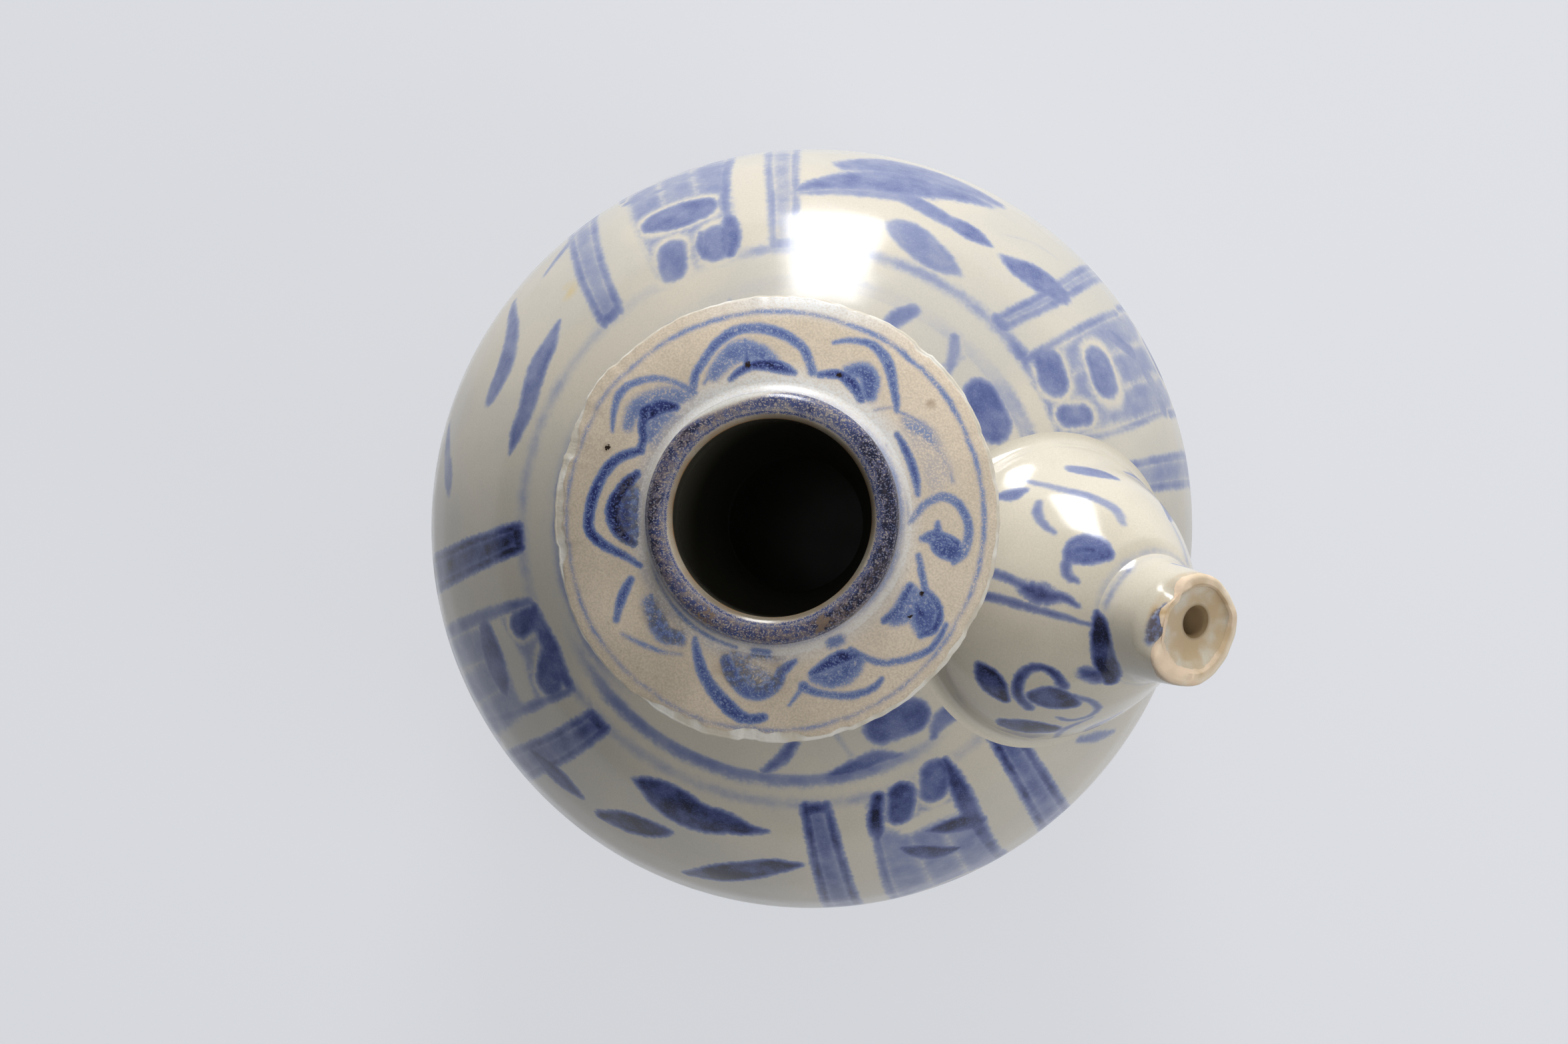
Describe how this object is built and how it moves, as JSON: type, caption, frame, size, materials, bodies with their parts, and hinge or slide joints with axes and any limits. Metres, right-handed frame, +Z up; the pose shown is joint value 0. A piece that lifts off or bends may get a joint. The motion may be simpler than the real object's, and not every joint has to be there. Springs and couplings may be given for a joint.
{
  "type": "kendi",
  "caption": "Round porcelain pouring vessel with a foot ring, tall neck, wide mouth flange with an upright collar, and a bulbous shoulder spout.",
  "frame": {"origin": "centre of the foot ring, on the surface the vessel stands on", "axes": "+Z up along the neck, +X towards the spout"},
  "size_m": [0.1576, 0.15, 0.1828],
  "materials": {
    "body_glaze": "clear glaze over underglaze cobalt painting",
    "mouth_glaze": "clear glaze over underglaze cobalt painting",
    "collar_glaze": "clear glaze over a cobalt band",
    "spout_glaze": "clear glaze over underglaze cobalt painting, worn bare at the tip",
    "foot_biscuit": "unglazed biscuit",
    "slip": "fired slip under glaze"
  },
  "bodies": {
    "root": {"foot_ring": "foot_biscuit", "foot_luting": "slip", "lower_body": "body_glaze", "belly_luting": "slip", "upper_body": "body_glaze", "neck_luting": "slip", "neck": "body_glaze", "flange_luting": "slip", "mouth_flange": "mouth_glaze", "collar_luting": "slip", "mouth_collar": "collar_glaze", "spout_luting": "slip", "spout_bulb": "spout_glaze", "nozzle_luting": "slip", "spout_nozzle": "spout_glaze"}
  },
  "joints": []
}
